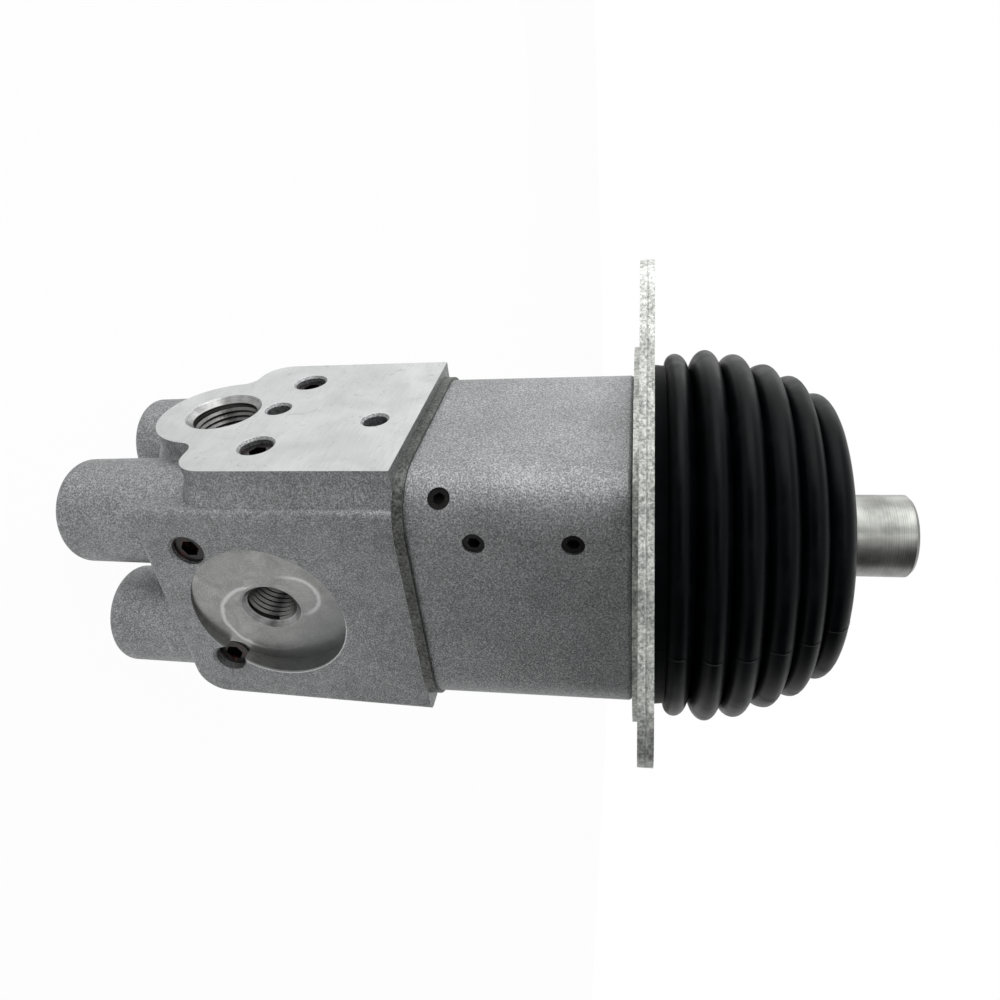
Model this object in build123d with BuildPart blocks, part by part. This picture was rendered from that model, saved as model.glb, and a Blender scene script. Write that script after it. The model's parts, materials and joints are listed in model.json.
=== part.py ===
from build123d import *
import math
import os

# A hydraulic pilot joystick valve.
# Millimetres. Z is the lever's axis and points up out of the boot. The origin lies on that axis
# at the underside of the mounting plate. X is the normal of the machined port pad and Y the
# normal of the face with the side port. The four plungers stand on the diagonals.
os.makedirs("parts", exist_ok=True)

# --- Driving dimensions -------------------------------------------------------------------

# Mounting plate: a square turned so that its corners point along X and Y
plate_side = 104.0
plate_thickness = 3.0
plate_corner = 10.0
plate_turn = 45.0
plate_opening_radius = 31.0
plate_bolt_radius = 3.3
plate_bolt_inset = 12.0
plate_screw_circle = 36.6
plate_screw_radius = 2.0
plate_screw_head_radius = 3.6
plate_screw_length = 13.0
plate_screw_sink = 0.1
plate_screw_clearance = 0.15
plate_screw_socket = 2.5
plate_screw_socket_depth = 1.3

# Retainer disc between the plate and the housing
retainer_radius = 47.0
retainer_thickness = 1.2
retainer_hole_clearance = 0.3
retainer_centre_clearance = 0.1

# Housing that carries the plungers
housing_width = 67.0
housing_corner = 13.0
housing_height = 48.8
housing_end_round = 1.2
housing_pillar_hole_depth = 17.0

# Sealing plate between the housing and the valve body
sealing_thickness = 2.5
sealing_width = 68.6

# Valve body
body_height = 64.5
body_top_face_x = 27.8
body_bottom_face_x = -34.2
body_bottom_draft = 2.6
body_half_width = 33.0
body_end_corner = 8.0
body_pad_corner = 3.0
body_long_edge_round = 2.0
pad_x = 36.3
pad_half_width = 29.2
pad_end_z = -105.0
pad_outline_corner = 7.5
pad_neck_fillet = 4.2
pad_root_depth = 24.0
pad_foot_x = 32.2
pad_foot_draft_degrees = 24.0
pad_foot_buried = 1.5
pick_reach = 1.0

# Plunger layout, work-port bosses and their ports
plunger_offset = 17.6
boss_radius = 13.2
boss_length = 23.7
boss_draft_degrees = 0.8
boss_end_round = 2.2
boss_buried = 12.0
work_port_minor_radius = 6.19
work_port_depth = 14.0
work_port_chamfer = 1.2

# Port in the pad
pad_port_minor_radius = 8.19
pad_port_mouth_radius = 9.8
pad_port_chamfer_depth = 1.6
pad_port_depth = 17.0
pad_port_y = -0.8
pad_port_z = -105.9
pad_port_wall = 8.7

# Side port in its spot face
side_port_minor_radius = 6.19
side_port_mouth_radius = 7.4
side_port_chamfer_depth = 1.2
side_port_depth = 14.0
side_port_x = -2.7
side_port_z = -89.6
side_port_lean_x = -7.5
side_port_lean_z = 5.0
spot_radius = 19.7
spot_depth = 1.5

# Cross drillings and their screw plugs
gallery_radius = 2.5
port_drill_radius = 3.6
screw_fit = 0.02
pad_gallery_z = -88.4
side_gallery_z = -105.0
side_gallery_shift = -1.4
plug_radius = 4.0
plug_seat_depth = 8.0
plug_length = 6.0
plug_recess = 1.6
plug_chamfer = 0.6
plug_socket = 4.0
plug_socket_depth = 2.5
pad_hole_radius = 3.0
pad_hole_chamfer = 0.6
pad_hole_depth = 6.5
pad_holes = [(-1.8, -91.1), (5.2, -62.9)]

# Screws that hold the housing to the valve body
body_screw_circle = 25.0
body_screw_gap = 0.1
body_screw_radius = 3.0
body_screw_head_radius = 5.0
body_screw_head_height = 6.0
body_screw_grip = 12.0
body_screw_socket = 5.0
body_screw_socket_depth = 3.0
body_screw_sink = 0.6

# Set screws in the housing
set_screw_radius = 2.5
set_screw_tip_gap = 0.9
set_screw_recess = 0.5
set_screw_socket = 2.5
set_screw_socket_depth = 2.2
set_screw_x = 20.4
set_screw_heights = [-13.5, -35.0]
corner_set_screw_z = -42.3

# Plungers, their guide bushes and springs
plunger_radius = 5.0
plunger_tip_radius = 3.0
plunger_tip_reach = 2.4
plunger_rest_gap = 0.85
plunger_tail_z = -33.0
bush_radius = 9.0
bush_length = 22.3
bush_fit = 0.03
seal_height = 3.2
seal_outer_radius = 7.0
seal_depth = 0.5
seal_fit = 0.05
oring_wire_radius = 0.9
oring_groove_width = 2.4
oring_depth = 18.0
seat_radius = 8.0
seat_thickness = 3.0
seat_spigot_radius = 4.9
seat_spigot_height = 2.0
chamber_radius = 8.8
chamber_floor_z = -66.0
spring_mean_radius = 6.5
spring_wire_radius = 0.8
spring_turns = 4.5

# Spools
spool_radius = 3.5
spool_fit = 0.03
spool_waist_radius = 2.2
spool_stem_radius = 1.8
spool_collar_radius = 4.8
spool_collar_height = 2.0
spool_collar_z = -59.0
spool_top_z = -48.0
spool_end_z = -118.0
spool_waist_length = 8.0

# Universal joint under the lever
pivot_z = 14.0
cross_half = 6.0
cross_half_height = 4.5
cross_chamfer = 0.6
pin_radius = 2.5
pin_fit = 0.03
pin_chamfer = 0.3
ear_gap = 0.3
ear_thickness = 4.6
pillar_ear_half_width = 5.5
yoke_ear_half_width = 4.5
pillar_flange_radius = 9.5
pillar_shoulder_radius = 11.4
pillar_shoulder_low_z = 0.6
pillar_stud_radius = 5.0
pillar_stud_length = 15.0
pillar_shoulder_drop = 8.0

# Swash plate, lock nut and lever
swash_radius = 29.0
swash_thickness = 6.0
swash_cavity_radius = 15.5
swash_cavity_height = 14.0
swash_hub_radius = 17.5
swash_hub_top = 17.0
swash_shoulder_height = 9.0
yoke_disc_radius = 12.2
yoke_disc_thickness = 4.0
stud_radius = 5.0
stud_fit = 0.02
stud_length = 18.0
nut_width = 19.0
nut_height = 6.0
shaft_radius = 10.0
shaft_top_z = 63.8
shaft_chamfer = 0.8
neck_radius = 9.0
neck_low_z = 44.8
neck_high_z = 48.6

# Boot: heights and outer radii of its ribs, and of the valleys between them
rib_places = [(8.3, 45.1), (15.4, 45.8), (22.0, 44.6), (29.2, 42.0), (35.3, 39.1), (41.2, 34.8)]
valley_places = [(11.7, 39.8), (18.7, 40.6), (25.6, 39.2), (32.3, 36.8), (38.4, 33.2)]
boot_collar_radius = 42.6
boot_collar_height = 2.6
boot_wall = 1.8
boot_rib_wall = 2.9
boot_shoulder_z = 45.4
boot_shoulder_radius = 27.0
boot_lip_radius = 12.6
soft_clearance = 0.3
rib_round = 2.7
boot_ring_wall = 2.2
boot_ring_height = 4.0

# --- Values worked out from them ----------------------------------------------------------

housing_top_z = -retainer_thickness
housing_bottom_z = housing_top_z - housing_height
body_top_z = housing_bottom_z - sealing_thickness
body_end_z = body_top_z - body_height
boss_end_z = body_end_z - boss_length
work_port_end_z = boss_end_z + work_port_depth
plunger_top_z = pivot_z - plunger_rest_gap
bush_bottom_z = housing_top_z - bush_length
set_screw_length = housing_width / 2 - plunger_offset - bush_radius - set_screw_tip_gap - set_screw_recess
bolt_offset = plate_side / 2 - plate_bolt_inset
boot_bore_radius = boot_collar_radius - boot_wall
seat_bottom_z = plunger_tail_z - seat_thickness
ear_inner = cross_half + ear_gap
ear_outer = ear_inner + ear_thickness
shaft_bottom_z = pivot_z + swash_hub_top + nut_height
stud_bottom_z = pivot_z + swash_cavity_height
diagonals = [(1, 1), (-1, -1), (1, -1), (-1, 1)]
plunger_places = [(plunger_offset * sx, plunger_offset * sy) for sx, sy in diagonals]
plate_screw_offset = plate_screw_circle / math.sqrt(2)
plate_screw_places = [(plate_screw_offset * sx, plate_screw_offset * sy) for sx, sy in diagonals]
body_screw_places = [(body_screw_circle, 0), (-body_screw_circle, 0), (0, body_screw_circle), (0, -body_screw_circle)]

# Planes: one that holds the first tilt axis, one that holds the second, both through the pivot
across_first_axis = Plane(origin=(0, 0, pivot_z), x_dir=(1, 1, 0), z_dir=(1, -1, 0))
across_second_axis = Plane(origin=(0, 0, pivot_z), x_dir=(-1, 1, 0), z_dir=(1, 1, 0))

# The side port stands on the floor of a round spot face, which leans a few degrees
lean_x = math.tan(math.radians(side_port_lean_x))
lean_z = math.tan(math.radians(side_port_lean_z))
spot_face = Plane(
    origin=(side_port_x, body_half_width, side_port_z), x_dir=(1, -lean_x, 0), z_dir=(lean_x, 1, lean_z)
)
spot_floor = spot_face.offset(-spot_depth)


def facing(origin, direction):
    """A plane whose normal points out of a hole's mouth."""
    return Plane(origin=origin, z_dir=direction)


def section_of(plane):
    """The plane through another plane's normal: its X stays and its Y is the old normal."""
    return Plane(origin=plane.origin, x_dir=plane.x_dir, z_dir=plane.x_dir.cross(plane.z_dir))


def upright(x, y):
    """A vertical plane through the line at (x, y), where a sketch reads as radius and height."""
    return Plane(origin=(x, y, 0), x_dir=(1, 0, 0), z_dir=(0, -1, 0))


def vertical(x, y):
    return Axis((x, y, 0), (0, 0, 1))


def hexagon_radius(width):
    """The corner radius of a hexagon from its width across flats."""
    return width / math.sqrt(3)


def save(piece, name):
    piece.part.label = name
    export_step(piece.part, f"parts/{name}.step")


# --- Mounting plate, retainer disc and the screws through them ----------------------------

with BuildPart() as mounting_plate:
    with BuildSketch(Plane.XY.rotated((0, 0, plate_turn))):
        RectangleRounded(plate_side, plate_side, plate_corner)
        Circle(plate_opening_radius, mode=Mode.SUBTRACT)
        with GridLocations(2 * bolt_offset, 2 * bolt_offset, 2, 2):
            Circle(plate_bolt_radius, mode=Mode.SUBTRACT)
    extrude(amount=plate_thickness)
    with Locations(*[(x, y, plate_thickness) for x, y in plate_screw_places]):
        CounterSinkHole(
            plate_screw_radius + plate_screw_clearance,
            plate_screw_head_radius + plate_screw_clearance,
            counter_sink_angle=90,
        )
save(mounting_plate, "mounting_plate")

with BuildPart() as retainer_disc:
    with BuildSketch(Plane.XY.offset(-retainer_thickness)):
        Circle(retainer_radius)
        Circle(pillar_flange_radius + retainer_centre_clearance, mode=Mode.SUBTRACT)
        with Locations(*plunger_places):
            Circle(plunger_radius + retainer_hole_clearance, mode=Mode.SUBTRACT)
        with Locations(*plate_screw_places):
            Circle(plate_screw_radius + plate_screw_clearance, mode=Mode.SUBTRACT)
    extrude(amount=retainer_thickness)
save(retainer_disc, "retainer_disc")

screw_head_z = plate_thickness - plate_screw_sink
screw_cone_z = screw_head_z - (plate_screw_head_radius - plate_screw_radius)
with BuildPart() as plate_screws:
    for x, y in plate_screw_places:
        with BuildSketch(upright(x, y)):
            with BuildLine():
                Polyline(
                    (0, screw_head_z),
                    (plate_screw_head_radius, screw_head_z),
                    (plate_screw_radius, screw_cone_z),
                    (plate_screw_radius, screw_head_z - plate_screw_length),
                    (0, screw_head_z - plate_screw_length),
                    close=True,
                )
            make_face()
        revolve(axis=vertical(x, y))
    with BuildSketch(Plane.XY.offset(screw_head_z)):
        with Locations(*plate_screw_places):
            RegularPolygon(hexagon_radius(plate_screw_socket), 6)
    extrude(amount=-plate_screw_socket_depth, mode=Mode.SUBTRACT)
save(plate_screws, "plate_screws")

# --- Valve body ---------------------------------------------------------------------------

# Every drilled hole: its plane at the mouth, mouth radius, chamfer depth, wall radius, wall
# depth, and the radius and depth of the smaller drilling that goes on from its floor
pad_port = facing((pad_x, pad_port_y, pad_port_z), (1, 0, 0))
drillings = [
    (pad_port, pad_port_mouth_radius, pad_port_chamfer_depth, pad_port_minor_radius, pad_port_depth,
     port_drill_radius, pad_x + plunger_offset + gallery_radius / 2),
    (spot_floor, side_port_mouth_radius, side_port_chamfer_depth, side_port_minor_radius, side_port_depth,
     port_drill_radius, body_half_width + plunger_offset - spot_depth),
]
for x, y in plunger_places:
    work_port = facing((x, y, boss_end_z), (0, 0, -1))
    spool_bore = facing((x, y, body_top_z), (0, 0, 1))
    drillings.append(
        (work_port, work_port_minor_radius + work_port_chamfer, work_port_chamfer, work_port_minor_radius,
         work_port_depth, spool_radius, work_port_depth + work_port_chamfer)
    )
    drillings.append(
        (spool_bore, chamber_radius, spool_fit, chamber_radius, body_top_z - chamber_floor_z,
         spool_radius + spool_fit, body_top_z - work_port_end_z)
    )
plug_bore = plug_radius + screw_fit
pad_galleries = [facing((pad_x, side * plunger_offset, pad_gallery_z), (1, 0, 0)) for side in (1, -1)]
side_gallery_places = [side * plunger_offset + side_gallery_shift for side in (1, -1)]
side_galleries = [facing((x, body_half_width, side_gallery_z), (0, 1, 0)) for x in side_gallery_places]
for gallery in pad_galleries:
    drillings.append((gallery, plug_bore + plug_chamfer, plug_chamfer, plug_bore, plug_seat_depth,
                      gallery_radius, pad_x + plunger_offset))
for gallery in side_galleries:
    drillings.append((gallery, plug_bore + plug_chamfer, plug_chamfer, plug_bore, plug_seat_depth,
                      gallery_radius, body_half_width + plunger_offset))
for y, z in pad_holes:
    drillings.append((facing((pad_x, y, z), (1, 0, 0)), pad_hole_radius + pad_hole_chamfer, pad_hole_chamfer,
                      pad_hole_radius, pad_hole_depth, pad_hole_radius / 2, pad_hole_depth + pad_hole_chamfer))

with BuildPart() as valve_body:
    # Cast block, drafted on the side away from the pad and rounded at its lower end
    with BuildSketch(Plane.XZ) as block_outline:
        with BuildLine():
            Polyline(
                (body_bottom_face_x, body_top_z),
                (body_top_face_x, body_top_z),
                (body_top_face_x, body_end_z),
                (body_bottom_face_x + body_bottom_draft, body_end_z),
                close=True,
            )
        make_face()
        end_corners = block_outline.vertices().group_by(Axis.Y)[0].sort_by(Axis.X)
        fillet(end_corners[0], body_end_corner)
        end_corners = block_outline.vertices().group_by(Axis.Y)[0].sort_by(Axis.X)
        fillet(end_corners[-1], body_pad_corner)
    extrude(amount=body_half_width, both=True)
    side_edges = valve_body.faces().filter_by(Axis.Y).edges()
    fillet(side_edges.filter_by(lambda edge: edge.center().Z < body_top_z - body_long_edge_round), body_long_edge_round)

    # Four work-port bosses
    with BuildSketch(Plane.XY.offset(boss_end_z)):
        with Locations(*plunger_places):
            Circle(boss_radius)
    extrude(amount=boss_length + boss_buried, taper=-boss_draft_degrees)
    fillet(valve_body.edges().group_by(Axis.Z)[0], boss_end_round)

    # Machined pad, whose end swells into a round lobe about its port
    with BuildSketch(Plane.YZ.offset(pad_x - pad_root_depth)) as pad_outline:
        with Locations((0, (body_top_z + pad_end_z) / 2)):
            Rectangle(2 * pad_half_width, body_top_z - pad_end_z)
        with Locations((pad_port_y, pad_port_z)):
            Circle(pad_port_minor_radius + pad_port_wall)
        pad_corners = pad_outline.vertices().filter_by_position(Axis.Y, pad_end_z - pick_reach, pad_end_z + pick_reach)
        fillet(pad_corners.sort_by(Axis.X)[1:3], pad_neck_fillet)
        pad_corners = pad_outline.vertices().filter_by_position(Axis.Y, pad_end_z - pick_reach, pad_end_z + pick_reach)
        fillet([pad_corners.sort_by(Axis.X)[0], pad_corners.sort_by(Axis.X)[-1]], pad_outline_corner)
    extrude(amount=pad_root_depth)

    # The pad's foot spreads on to the block
    foot_depth = pad_foot_x - body_top_face_x + pad_foot_buried
    foot_outline = pad_outline.sketch.face().moved(Location((pad_foot_x - pad_x + pad_root_depth, 0, 0)))
    extrude(foot_outline, amount=-foot_depth, taper=-pad_foot_draft_degrees)
    split(bisect_by=Plane.XY.offset(body_top_z), keep=Keep.BOTTOM)

    # Spot face round the side port
    with BuildSketch(spot_floor):
        Circle(spot_radius)
    extrude(amount=2 * spot_depth + spot_radius * abs(lean_x), mode=Mode.SUBTRACT)

    # Ports, spool bores, cross drillings and tapped holes
    for mouth, mouth_radius, chamfer_depth, wall_radius, wall_depth, drill_radius, drill_depth in drillings:
        with BuildSketch(section_of(mouth)):
            with BuildLine():
                Polyline(
                    (0, 0),
                    (mouth_radius, 0),
                    (wall_radius, -chamfer_depth),
                    (wall_radius, -wall_depth),
                    (drill_radius, -wall_depth),
                    (drill_radius, -drill_depth),
                    (0, -drill_depth),
                    close=True,
                )
            make_face()
        revolve(axis=Axis(mouth.origin, mouth.z_dir), mode=Mode.SUBTRACT)
    with Locations(*[(x, y, body_top_z) for x, y in body_screw_places]):
        Hole(body_screw_radius + screw_fit, depth=body_screw_grip + body_screw_gap)
save(valve_body, "valve_body")

for name, galleries in (("pad_plugs", pad_galleries), ("side_plugs", side_galleries)):
    with BuildPart() as plugs:
        for gallery in galleries:
            with BuildSketch(gallery.offset(-plug_recess)):
                Circle(plug_radius)
                RegularPolygon(hexagon_radius(plug_socket), 6, mode=Mode.SUBTRACT)
            extrude(amount=-plug_socket_depth)
            with BuildSketch(gallery.offset(-plug_recess - plug_socket_depth)):
                Circle(plug_radius)
            extrude(amount=-(plug_length - plug_socket_depth))
    save(plugs, name)

# --- Sealing plate, housing and their screws ----------------------------------------------

with BuildPart() as sealing_plate:
    with BuildSketch(Plane.XY.offset(body_top_z)):
        RectangleRounded(sealing_width, sealing_width, housing_corner + (sealing_width - housing_width) / 2)
        with Locations(*plunger_places):
            Circle(chamber_radius, mode=Mode.SUBTRACT)
        with Locations(*body_screw_places):
            Circle(body_screw_radius + body_screw_gap, mode=Mode.SUBTRACT)
    extrude(amount=sealing_thickness)
save(sealing_plate, "sealing_plate")

corner_reach = (housing_width / 2 - housing_corner) + housing_corner / math.sqrt(2)
set_screw_mouths = [facing((set_screw_x, housing_width / 2, z), (0, 1, 0)) for z in set_screw_heights]
set_screw_mouths.append(facing((corner_reach, corner_reach, corner_set_screw_z), (1, 1, 0)))

with BuildPart() as upper_housing:
    with BuildSketch(Plane.XY.offset(housing_bottom_z)):
        RectangleRounded(housing_width, housing_width, housing_corner)
    extrude(amount=housing_height)
    fillet(upper_housing.faces().sort_by(Axis.Z)[-1].edges(), housing_end_round)
    with Locations(*[(x, y, housing_top_z) for x, y in plunger_places]):
        Hole(bush_radius + bush_fit)
    with Locations((0, 0, housing_top_z)):
        Hole(pillar_stud_radius + screw_fit, depth=housing_pillar_hole_depth)
    with Locations(*[(x, y, housing_top_z) for x, y in plate_screw_places]):
        Hole(plate_screw_radius + screw_fit, depth=plate_screw_length)
    with Locations(*[(x, y, housing_top_z) for x, y in body_screw_places]):
        CounterBoreHole(
            body_screw_radius + body_screw_gap,
            body_screw_head_radius + body_screw_gap,
            body_screw_head_height + body_screw_sink,
        )
    with Locations(*set_screw_mouths):
        Hole(set_screw_radius + screw_fit, depth=housing_width / 2 - plunger_offset - bush_radius / 2)
save(upper_housing, "upper_housing")

body_screw_top_z = housing_top_z - body_screw_sink
with BuildPart() as body_screws:
    with BuildSketch(Plane.XY.offset(body_screw_top_z)):
        with Locations(*body_screw_places):
            Circle(body_screw_head_radius)
    extrude(amount=-body_screw_head_height)
    with BuildSketch(Plane.XY.offset(body_top_z - body_screw_grip)):
        with Locations(*body_screw_places):
            Circle(body_screw_radius)
    extrude(amount=body_screw_grip + sealing_thickness + housing_height - body_screw_sink)
    with BuildSketch(Plane.XY.offset(body_screw_top_z)):
        with Locations(*body_screw_places):
            RegularPolygon(hexagon_radius(body_screw_socket), 6)
    extrude(amount=-body_screw_socket_depth, mode=Mode.SUBTRACT)
save(body_screws, "body_screws")

with BuildPart() as housing_set_screws:
    for mouth in set_screw_mouths:
        with BuildSketch(mouth.offset(-set_screw_recess)):
            Circle(set_screw_radius)
            RegularPolygon(hexagon_radius(set_screw_socket), 6, mode=Mode.SUBTRACT)
        extrude(amount=-set_screw_socket_depth)
        with BuildSketch(mouth.offset(-set_screw_recess - set_screw_socket_depth)):
            Circle(set_screw_radius)
        extrude(amount=-(set_screw_length - set_screw_socket_depth))
save(housing_set_screws, "housing_set_screws")

# --- Universal joint: pillar, cross and its pins ------------------------------------------

with BuildPart() as joint_pillar:
    with BuildSketch(upright(0, 0)):
        with BuildLine():
            Polyline(
                (0, housing_top_z - pillar_stud_length),
                (pillar_stud_radius, housing_top_z - pillar_stud_length),
                (pillar_stud_radius, housing_top_z),
                (pillar_flange_radius, housing_top_z),
                (pillar_flange_radius, pillar_shoulder_low_z),
                (pillar_shoulder_radius, pillar_shoulder_low_z + pillar_shoulder_radius - pillar_flange_radius),
                (pillar_shoulder_radius, pivot_z - pillar_shoulder_drop),
                (0, pivot_z - pillar_shoulder_drop),
                close=True,
            )
        make_face()
    revolve(axis=Axis.Z)
    for side in (1, -1):
        with BuildSketch(across_first_axis.offset(side * ear_inner)):
            Circle(pillar_ear_half_width)
            with Locations((0, -pillar_shoulder_drop / 2)):
                Rectangle(2 * pillar_ear_half_width, pillar_shoulder_drop)
        extrude(amount=side * ear_thickness)
    with Locations(across_first_axis.offset(ear_outer)):
        Hole(pin_radius + pin_fit)
save(joint_pillar, "joint_pillar")

with BuildPart() as joint_cross:
    with BuildSketch(across_first_axis.offset(-cross_half)):
        Rectangle(2 * cross_half, 2 * cross_half_height)
    extrude(amount=2 * cross_half)
    chamfer(joint_cross.edges().filter_by(Axis.Z), cross_chamfer)
    with Locations(across_first_axis.offset(cross_half), across_second_axis.offset(cross_half)):
        Hole(pin_radius + screw_fit)
save(joint_cross, "joint_cross")

with BuildPart() as long_pin:
    with BuildSketch(across_first_axis.offset(-ear_outer)):
        Circle(pin_radius)
    extrude(amount=2 * ear_outer)
    chamfer(long_pin.edges().filter_by(GeomType.CIRCLE), pin_chamfer)
save(long_pin, "long_pin")

with BuildPart() as short_pins:
    for side in (1, -1):
        with BuildSketch(across_second_axis.offset(side * (pin_radius + ear_gap))):
            Circle(pin_radius)
        extrude(amount=side * (ear_outer - pin_radius - ear_gap))
save(short_pins, "short_pins")

# --- Lever: yoke, swash plate, lock nut and stub shaft ------------------------------------

with BuildPart() as yoke:
    with BuildSketch(Plane.XY.offset(stud_bottom_z)):
        Circle(yoke_disc_radius)
    extrude(amount=-yoke_disc_thickness)
    with BuildSketch(Plane.XY.offset(stud_bottom_z)):
        Circle(stud_radius)
    extrude(amount=stud_length)
    for side in (1, -1):
        with BuildSketch(across_second_axis.offset(side * ear_inner)):
            Circle(yoke_ear_half_width)
            with Locations((0, (swash_cavity_height - yoke_disc_thickness / 2) / 2)):
                Rectangle(2 * yoke_ear_half_width, swash_cavity_height - yoke_disc_thickness / 2)
        extrude(amount=side * ear_thickness)
    with Locations(across_second_axis.offset(ear_outer)):
        Hole(pin_radius + pin_fit)
save(yoke, "yoke")

with BuildPart() as swash_plate:
    with BuildSketch(upright(0, 0)):
        with BuildLine():
            Polyline(
                (swash_cavity_radius, pivot_z),
                (swash_radius - shaft_chamfer, pivot_z),
                (swash_radius, pivot_z + shaft_chamfer),
                (swash_radius, pivot_z + swash_thickness),
                (swash_hub_radius + swash_thickness / 2, pivot_z + swash_thickness),
                (swash_hub_radius, pivot_z + swash_shoulder_height),
                (swash_hub_radius, pivot_z + swash_cavity_height),
                (nut_width / 2, pivot_z + swash_hub_top),
                (stud_radius + stud_fit, pivot_z + swash_hub_top),
                (stud_radius + stud_fit, pivot_z + swash_cavity_height),
                (swash_cavity_radius, pivot_z + swash_cavity_height),
                close=True,
            )
        make_face()
    revolve(axis=Axis.Z)
save(swash_plate, "swash_plate")

with BuildPart() as lock_nut:
    with BuildSketch(Plane.XY.offset(pivot_z + swash_hub_top)):
        RegularPolygon(hexagon_radius(nut_width), 6)
        Circle(stud_radius + stud_fit, mode=Mode.SUBTRACT)
    extrude(amount=nut_height)
save(lock_nut, "lock_nut")

with BuildPart() as lever_shaft:
    with BuildSketch(upright(0, 0)):
        with BuildLine():
            Polyline(
                (stud_radius + stud_fit, shaft_bottom_z),
                (shaft_radius - shaft_chamfer, shaft_bottom_z),
                (shaft_radius, shaft_bottom_z + shaft_chamfer),
                (shaft_radius, neck_low_z),
                (neck_radius, neck_low_z),
                (neck_radius, neck_high_z),
                (shaft_radius, neck_high_z),
                (shaft_radius, shaft_top_z - shaft_chamfer),
                (shaft_radius - shaft_chamfer, shaft_top_z),
                (0, shaft_top_z),
                (0, stud_bottom_z + stud_length + shaft_chamfer),
                (stud_radius + stud_fit, stud_bottom_z + stud_length + shaft_chamfer),
                close=True,
            )
        make_face()
    revolve(axis=Axis.Z)
save(lever_shaft, "lever_shaft")

# --- Plungers, guide bushes, seals, springs and spools, one of each per diagonal -----------

bush_top_z = housing_top_z
seal_pocket_z = bush_top_z - seal_depth - seal_height - seal_fit
oring_z = bush_top_z - oring_depth
oring_centre = bush_radius - oring_wire_radius
tip_drop = plunger_tip_radius - math.sqrt(plunger_tip_radius**2 - plunger_tip_reach**2)
for number, (x, y) in enumerate(plunger_places, start=1):
    with BuildPart() as plunger:
        with BuildSketch(upright(x, y)):
            with BuildLine():
                RadiusArc((0, plunger_top_z), (plunger_tip_reach, plunger_top_z - tip_drop), plunger_tip_radius)
                Polyline(
                    (plunger_tip_reach, plunger_top_z - tip_drop),
                    (plunger_radius, plunger_top_z - tip_drop - plunger_tip_radius),
                    (plunger_radius, plunger_tail_z),
                    (0, plunger_tail_z),
                    (0, plunger_top_z),
                )
            make_face()
        revolve(axis=vertical(x, y))
    save(plunger, f"plunger_{number}")

    with BuildPart() as guide_bush:
        with BuildSketch(upright(x, y)):
            with BuildLine():
                Polyline(
                    (plunger_radius + bush_fit, bush_bottom_z),
                    (bush_radius, bush_bottom_z),
                    (bush_radius, oring_z - oring_groove_width / 2),
                    (bush_radius - 2 * oring_wire_radius, oring_z - oring_groove_width / 2),
                    (bush_radius - 2 * oring_wire_radius, oring_z + oring_groove_width / 2),
                    (bush_radius, oring_z + oring_groove_width / 2),
                    (bush_radius, bush_top_z),
                    (seal_outer_radius + seal_fit, bush_top_z),
                    (seal_outer_radius + seal_fit, seal_pocket_z),
                    (plunger_radius + bush_fit, seal_pocket_z),
                    close=True,
                )
            make_face()
        revolve(axis=vertical(x, y))
    save(guide_bush, f"guide_bush_{number}")

    with BuildPart() as rod_seal:
        with BuildSketch(Plane.XY.offset(seal_pocket_z + seal_fit)):
            with Locations((x, y)):
                Circle(seal_outer_radius)
                Circle(plunger_radius + seal_fit, mode=Mode.SUBTRACT)
        extrude(amount=seal_height)
    save(rod_seal, f"rod_seal_{number}")

    with BuildPart() as bush_oring:
        with BuildSketch(upright(x, y)):
            with Locations((oring_centre, oring_z)):
                Circle(oring_wire_radius)
        revolve(axis=vertical(x, y))
    save(bush_oring, f"bush_oring_{number}")

    with BuildPart() as spring_seat:
        with BuildSketch(Plane.XY.offset(seat_bottom_z)):
            with Locations((x, y)):
                Circle(seat_radius)
        extrude(amount=seat_thickness)
        with BuildSketch(Plane.XY.offset(seat_bottom_z)):
            with Locations((x, y)):
                Circle(seat_spigot_radius)
        extrude(amount=-seat_spigot_height)
    save(spring_seat, f"spring_seat_{number}")

    spring_low_z = chamber_floor_z + spring_wire_radius
    spring_rise = seat_bottom_z - spring_wire_radius - spring_low_z
    with BuildPart() as return_spring:
        with BuildLine(Plane((x, y, spring_low_z))) as coil:
            Helix(spring_rise / spring_turns, spring_rise, spring_mean_radius)
        with BuildSketch(Plane(origin=coil.line @ 0, z_dir=coil.line % 0)):
            Circle(spring_wire_radius - spool_fit)
        sweep(is_frenet=True)
    save(return_spring, f"return_spring_{number}")

    with BuildPart() as spool:
        with BuildSketch(upright(x, y)) as spool_outline:
            with Locations((spool_stem_radius / 2, (spool_top_z + spool_collar_z) / 2)):
                Rectangle(spool_stem_radius, spool_top_z - spool_collar_z)
            with Locations((spool_collar_radius / 2, spool_collar_z)):
                Rectangle(spool_collar_radius, spool_collar_height)
            with Locations((spool_radius / 2, (spool_collar_z + spool_end_z) / 2)):
                Rectangle(spool_radius, spool_collar_z - spool_end_z)
            for gallery_z in (pad_gallery_z, side_gallery_z):
                with Locations(((spool_waist_radius + spool_radius) / 2, gallery_z)):
                    Rectangle(spool_radius - spool_waist_radius, spool_waist_length, mode=Mode.SUBTRACT)
        revolve(axis=vertical(x, y))
    save(spool, f"spool_{number}")

# --- Boot and the ring inside its collar --------------------------------------------------

boot_ring_radius = boot_bore_radius - soft_clearance
with BuildPart() as boot_ring:
    with BuildSketch(Plane.XY.offset(plate_thickness)):
        Circle(boot_ring_radius)
        Circle(boot_ring_radius - boot_ring_wall, mode=Mode.SUBTRACT)
    extrude(amount=boot_ring_height)
save(boot_ring, "boot_ring")

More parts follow.
